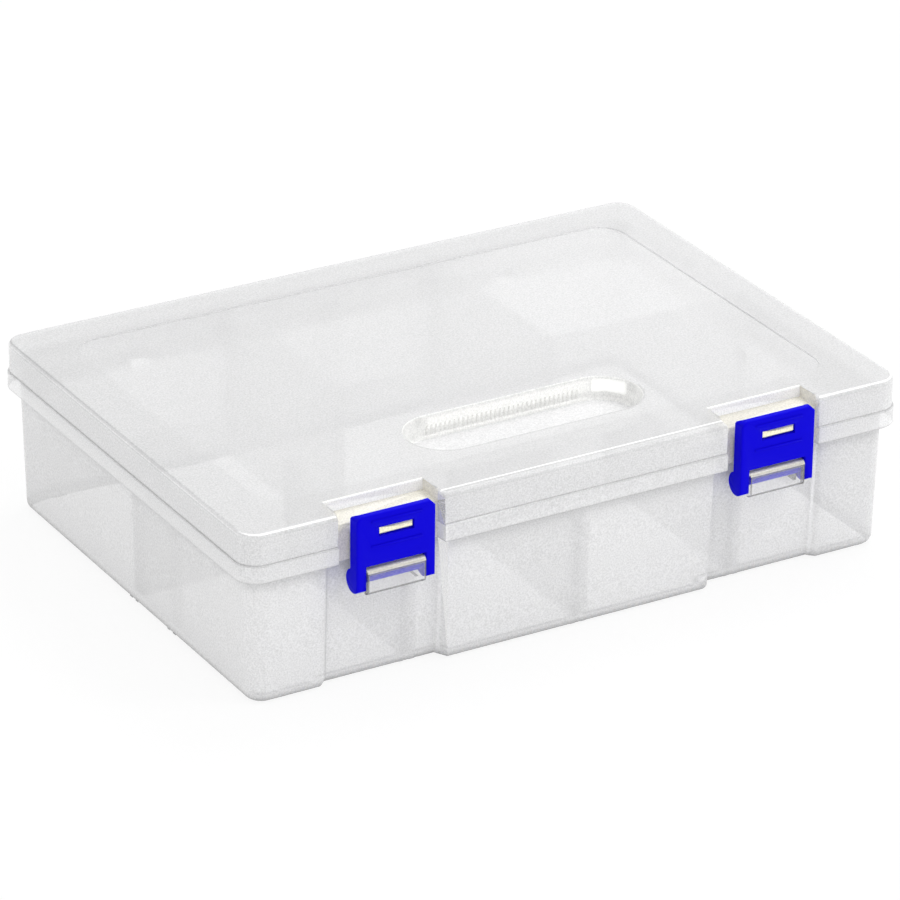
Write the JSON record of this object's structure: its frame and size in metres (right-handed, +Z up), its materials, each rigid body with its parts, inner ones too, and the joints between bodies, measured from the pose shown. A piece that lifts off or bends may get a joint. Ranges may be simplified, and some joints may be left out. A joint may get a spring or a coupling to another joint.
{
  "type": "compartment storage box",
  "caption": "Clear compartment storage box with a hinged cap lid, a grip recess, swing-down blue latches at the front and lift-out dividers inside.",
  "frame": {"origin": "centre of the flat underside, midway between the drafted side walls and between the rear wall and the plain side lengths of the front wall", "axes": "+X along the box's length, -Y out of the front with the latches, +Z up from the underside to the lid"},
  "size_m": [0.3, 0.2244, 0.0752],
  "materials": {
    "clear_plastic": "frosted clear polypropylene",
    "blue_plastic": "gloss"
  },
  "bodies": {
    "base": {"base": "clear_plastic", "lengthwise_divider": "clear_plastic", "rear_divider_left": "clear_plastic", "rear_divider_right": "clear_plastic", "front_divider_left": "clear_plastic", "front_divider_middle": "clear_plastic", "front_divider_right": "clear_plastic"},
    "lid": {"lid": "clear_plastic"},
    "latch_left": {"latch_left": "blue_plastic"},
    "latch_right": {"latch_right": "blue_plastic"}
  },
  "joints": [
    {"name": "lid_hinge", "type": "hinge", "parent": "base", "child": "lid", "pos_m": [0, 0.1095, 0.052], "axis": [-1, 0, 0], "range_deg": [0, 115]},
    {"name": "latch_left_hinge", "type": "hinge", "parent": "base", "child": "latch_left", "pos_m": [-0.087, -0.1068, 0.047], "axis": [1, 0, 0], "range_deg": [0, 180]},
    {"name": "latch_right_hinge", "type": "hinge", "parent": "base", "child": "latch_right", "pos_m": [0.087, -0.1068, 0.047], "axis": [1, 0, 0], "range_deg": [0, 180]}
  ]
}
